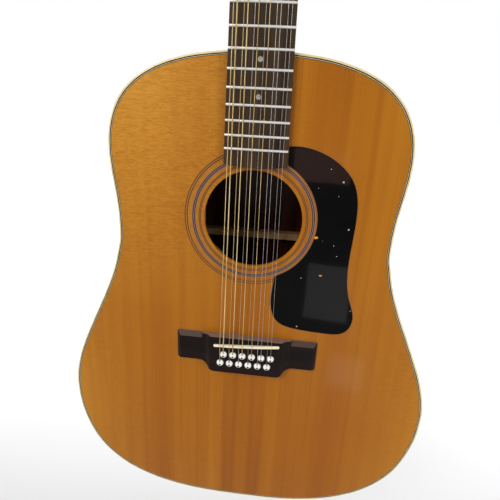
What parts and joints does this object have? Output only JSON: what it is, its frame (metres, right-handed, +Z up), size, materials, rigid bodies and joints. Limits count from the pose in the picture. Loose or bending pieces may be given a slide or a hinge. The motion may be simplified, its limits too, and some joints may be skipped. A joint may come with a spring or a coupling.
{
  "type": "acoustic guitar",
  "caption": "Flat-top twelve-string acoustic guitar: braced hollow body, bolt-free set neck, belly bridge with pins, and geared machine heads that turn.",
  "frame": {"origin": "middle of the nut's string edge, on the plane of the soundboard", "axes": "+Z up the neck towards the headstock, -Y out of the soundboard towards the player's hand, +X towards the thin strings"},
  "size_m": [0.4038, 0.1355, 1.0927],
  "materials": {
    "spruce_top": "aged gloss lacquer",
    "spruce_brace": "bare",
    "rosewood_body": "gloss lacquer",
    "rosewood_dark": "oiled",
    "mahogany": "satin lacquer",
    "maple": "bare",
    "cream_plastic": "gloss",
    "black_plastic": "gloss",
    "white_plastic": "gloss",
    "ring_lines": "gloss",
    "bone": "polished",
    "pearl": "gloss",
    "fret_metal": "polished",
    "bronze_winding": "wound",
    "plain_steel": "polished",
    "steel_rod": "plain",
    "nickel": "polished"
  },
  "bodies": {
    "guitar": {"soundboard": "spruce_top", "back": "rosewood_body", "side_bass": "rosewood_body", "side_treble": "rosewood_body", "neck_block": "mahogany", "tail_block": "mahogany", "end_graft": "cream_plastic", "linings": "mahogany", "x_braces": "spruce_brace", "top_braces": "spruce_brace", "bridge_plate": "maple", "back_braces": "spruce_brace", "body_binding": "cream_plastic", "purfling_black": "black_plastic", "purfling_white": "white_plastic", "rosette": "ring_lines", "pickguard": "black_plastic", "bridge": "rosewood_dark", "saddle": "bone", "bridge_pins": "white_plastic", "bridge_pin_dots": "black_plastic", "wound_strings": "bronze_winding", "plain_strings": "plain_steel", "neck": "mahogany", "heel_cap": "cream_plastic", "fingerboard": "rosewood_dark", "frets": "fret_metal", "nut": "bone", "position_dots": "pearl", "truss_rod": "steel_rod", "truss_rod_cover": "black_plastic", "headstock_veneer": "rosewood_dark", "tuner_housings": "nickel", "tuner_bushings": "nickel", "tuner_screws": "nickel", "end_pin": "white_plastic"},
    "button_01": {"tuner_button_01": "nickel"},
    "post_01": {"tuner_post_01": "nickel"},
    "button_02": {"tuner_button_02": "nickel"},
    "post_02": {"tuner_post_02": "nickel"},
    "button_03": {"tuner_button_03": "nickel"},
    "post_03": {"tuner_post_03": "nickel"},
    "button_04": {"tuner_button_04": "nickel"},
    "post_04": {"tuner_post_04": "nickel"},
    "button_05": {"tuner_button_05": "nickel"},
    "post_05": {"tuner_post_05": "nickel"},
    "button_06": {"tuner_button_06": "nickel"},
    "post_06": {"tuner_post_06": "nickel"},
    "button_07": {"tuner_button_07": "nickel"},
    "post_07": {"tuner_post_07": "nickel"},
    "button_08": {"tuner_button_08": "nickel"},
    "post_08": {"tuner_post_08": "nickel"},
    "button_09": {"tuner_button_09": "nickel"},
    "post_09": {"tuner_post_09": "nickel"},
    "button_10": {"tuner_button_10": "nickel"},
    "post_10": {"tuner_post_10": "nickel"},
    "button_11": {"tuner_button_11": "nickel"},
    "post_11": {"tuner_post_11": "nickel"},
    "button_12": {"tuner_button_12": "nickel"},
    "post_12": {"tuner_post_12": "nickel"}
  },
  "joints": [
    {"name": "button_01_turn", "type": "hinge", "parent": "guitar", "child": "button_01", "pos_m": [-0.027, 0.03063, 0.04836], "axis": [-1, 0, 0], "continuous": true},
    {"name": "post_01_turn", "type": "hinge", "parent": "guitar", "child": "post_01", "pos_m": [-0.027, 0.01016, 0.04625], "axis": [0, -0.9703, 0.2419], "continuous": true},
    {"name": "button_02_turn", "type": "hinge", "parent": "guitar", "child": "button_02", "pos_m": [-0.027, 0.0374, 0.07553], "axis": [-1, 0, 0], "continuous": true},
    {"name": "post_02_turn", "type": "hinge", "parent": "guitar", "child": "post_02", "pos_m": [-0.027, 0.01693, 0.07342], "axis": [0, -0.9703, 0.2419], "continuous": true},
    {"name": "button_03_turn", "type": "hinge", "parent": "guitar", "child": "button_03", "pos_m": [-0.027, 0.04418, 0.1027], "axis": [-1, 0, 0], "continuous": true},
    {"name": "post_03_turn", "type": "hinge", "parent": "guitar", "child": "post_03", "pos_m": [-0.027, 0.02371, 0.10059], "axis": [0, -0.9703, 0.2419], "continuous": true},
    {"name": "button_04_turn", "type": "hinge", "parent": "guitar", "child": "button_04", "pos_m": [-0.027, 0.05095, 0.12987], "axis": [-1, 0, 0], "continuous": true},
    {"name": "post_04_turn", "type": "hinge", "parent": "guitar", "child": "post_04", "pos_m": [-0.027, 0.03048, 0.12776], "axis": [0, -0.9703, 0.2419], "continuous": true},
    {"name": "button_05_turn", "type": "hinge", "parent": "guitar", "child": "button_05", "pos_m": [-0.027, 0.05772, 0.15704], "axis": [-1, 0, 0], "continuous": true},
    {"name": "post_05_turn", "type": "hinge", "parent": "guitar", "child": "post_05", "pos_m": [-0.027, 0.03726, 0.15493], "axis": [0, -0.9703, 0.2419], "continuous": true},
    {"name": "button_06_turn", "type": "hinge", "parent": "guitar", "child": "button_06", "pos_m": [-0.027, 0.0645, 0.1842], "axis": [-1, 0, 0], "continuous": true},
    {"name": "post_06_turn", "type": "hinge", "parent": "guitar", "child": "post_06", "pos_m": [-0.027, 0.04403, 0.18209], "axis": [0, -0.9703, 0.2419], "continuous": true},
    {"name": "button_07_turn", "type": "hinge", "parent": "guitar", "child": "button_07", "pos_m": [0.027, 0.03063, 0.04836], "axis": [1, 0, 0], "continuous": true},
    {"name": "post_07_turn", "type": "hinge", "parent": "guitar", "child": "post_07", "pos_m": [0.027, 0.01016, 0.04625], "axis": [0, -0.9703, 0.2419], "continuous": true},
    {"name": "button_08_turn", "type": "hinge", "parent": "guitar", "child": "button_08", "pos_m": [0.027, 0.0374, 0.07553], "axis": [1, 0, 0], "continuous": true},
    {"name": "post_08_turn", "type": "hinge", "parent": "guitar", "child": "post_08", "pos_m": [0.027, 0.01693, 0.07342], "axis": [0, -0.9703, 0.2419], "continuous": true},
    {"name": "button_09_turn", "type": "hinge", "parent": "guitar", "child": "button_09", "pos_m": [0.027, 0.04418, 0.1027], "axis": [1, 0, 0], "continuous": true},
    {"name": "post_09_turn", "type": "hinge", "parent": "guitar", "child": "post_09", "pos_m": [0.027, 0.02371, 0.10059], "axis": [0, -0.9703, 0.2419], "continuous": true},
    {"name": "button_10_turn", "type": "hinge", "parent": "guitar", "child": "button_10", "pos_m": [0.027, 0.05095, 0.12987], "axis": [1, 0, 0], "continuous": true},
    {"name": "post_10_turn", "type": "hinge", "parent": "guitar", "child": "post_10", "pos_m": [0.027, 0.03048, 0.12776], "axis": [0, -0.9703, 0.2419], "continuous": true},
    {"name": "button_11_turn", "type": "hinge", "parent": "guitar", "child": "button_11", "pos_m": [0.027, 0.05772, 0.15704], "axis": [1, 0, 0], "continuous": true},
    {"name": "post_11_turn", "type": "hinge", "parent": "guitar", "child": "post_11", "pos_m": [0.027, 0.03726, 0.15493], "axis": [0, -0.9703, 0.2419], "continuous": true},
    {"name": "button_12_turn", "type": "hinge", "parent": "guitar", "child": "button_12", "pos_m": [0.027, 0.0645, 0.1842], "axis": [1, 0, 0], "continuous": true},
    {"name": "post_12_turn", "type": "hinge", "parent": "guitar", "child": "post_12", "pos_m": [0.027, 0.04403, 0.18209], "axis": [0, -0.9703, 0.2419], "continuous": true}
  ],
  "couplings": [
    {"joint": "post_01_turn", "follows": "button_01_turn", "ratio": 0.071429},
    {"joint": "post_02_turn", "follows": "button_02_turn", "ratio": 0.071429},
    {"joint": "post_03_turn", "follows": "button_03_turn", "ratio": 0.071429},
    {"joint": "post_04_turn", "follows": "button_04_turn", "ratio": 0.071429},
    {"joint": "post_05_turn", "follows": "button_05_turn", "ratio": 0.071429},
    {"joint": "post_06_turn", "follows": "button_06_turn", "ratio": 0.071429},
    {"joint": "post_07_turn", "follows": "button_07_turn", "ratio": -0.071429},
    {"joint": "post_08_turn", "follows": "button_08_turn", "ratio": -0.071429},
    {"joint": "post_09_turn", "follows": "button_09_turn", "ratio": -0.071429},
    {"joint": "post_10_turn", "follows": "button_10_turn", "ratio": -0.071429},
    {"joint": "post_11_turn", "follows": "button_11_turn", "ratio": -0.071429},
    {"joint": "post_12_turn", "follows": "button_12_turn", "ratio": -0.071429}
  ]
}
